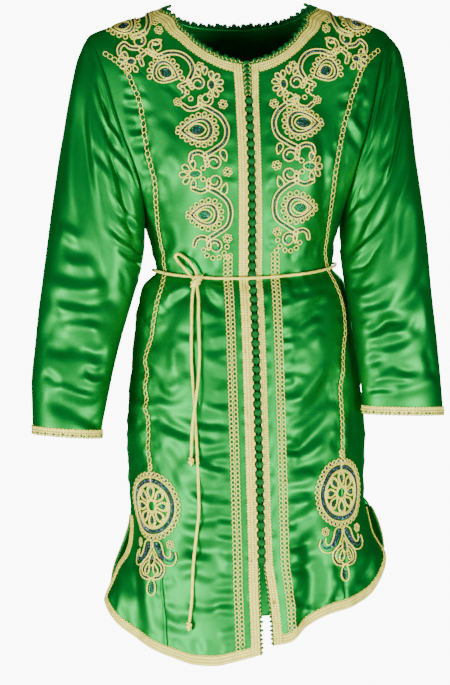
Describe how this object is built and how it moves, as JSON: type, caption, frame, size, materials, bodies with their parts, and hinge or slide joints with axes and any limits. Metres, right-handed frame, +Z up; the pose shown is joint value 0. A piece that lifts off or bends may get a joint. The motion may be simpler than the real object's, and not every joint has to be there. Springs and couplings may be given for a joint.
{
  "type": "buttoned tunic",
  "caption": "Knee-length satin tunic with long sleeves, worn shape with nobody in it, knotted buttons down the front, gold braid edges, side slits and a tied cord belt.",
  "frame": {"origin": "midway between the two shoulder points' level and the neck, on the plane of the shoulder seams, where the wearer's shoulders carry the tunic", "axes": "+Z up along the body, the front faces -Y, +X is the wearer's left"},
  "size_m": [0.5904, 0.2688, 0.9346],
  "materials": {
    "satin": "green satin, soft sheen",
    "gold_braid": "flat gold braid",
    "gold_chain": "looped gold cord with dark beads",
    "knots": "matt green knotted cord",
    "gold_cord": "smooth gold cord"
  },
  "bodies": {
    "root": {"front_right": "satin", "front_left": "satin", "side_front_right": "satin", "side_front_left": "satin", "back": "satin", "sleeve_right": "satin", "sleeve_left": "satin", "front_braid_right": "gold_braid", "front_braid_left": "gold_braid", "neck_braid": "gold_braid", "hem_braid_front_right": "gold_braid", "hem_braid_front_left": "gold_braid", "hem_braid_back": "gold_braid", "cuff_braid_right": "gold_braid", "cuff_braid_left": "gold_braid", "band_right": "gold_chain", "band_left": "gold_chain", "chain_right": "gold_chain", "chain_left": "gold_chain", "button_row": "knots", "belt": "gold_cord", "belt_knot": "gold_cord", "belt_loop": "gold_cord", "belt_tail_short": "gold_cord", "tail_knot_short": "gold_cord", "belt_tail_long": "gold_cord", "tail_knot_long": "gold_cord"}
  },
  "joints": []
}
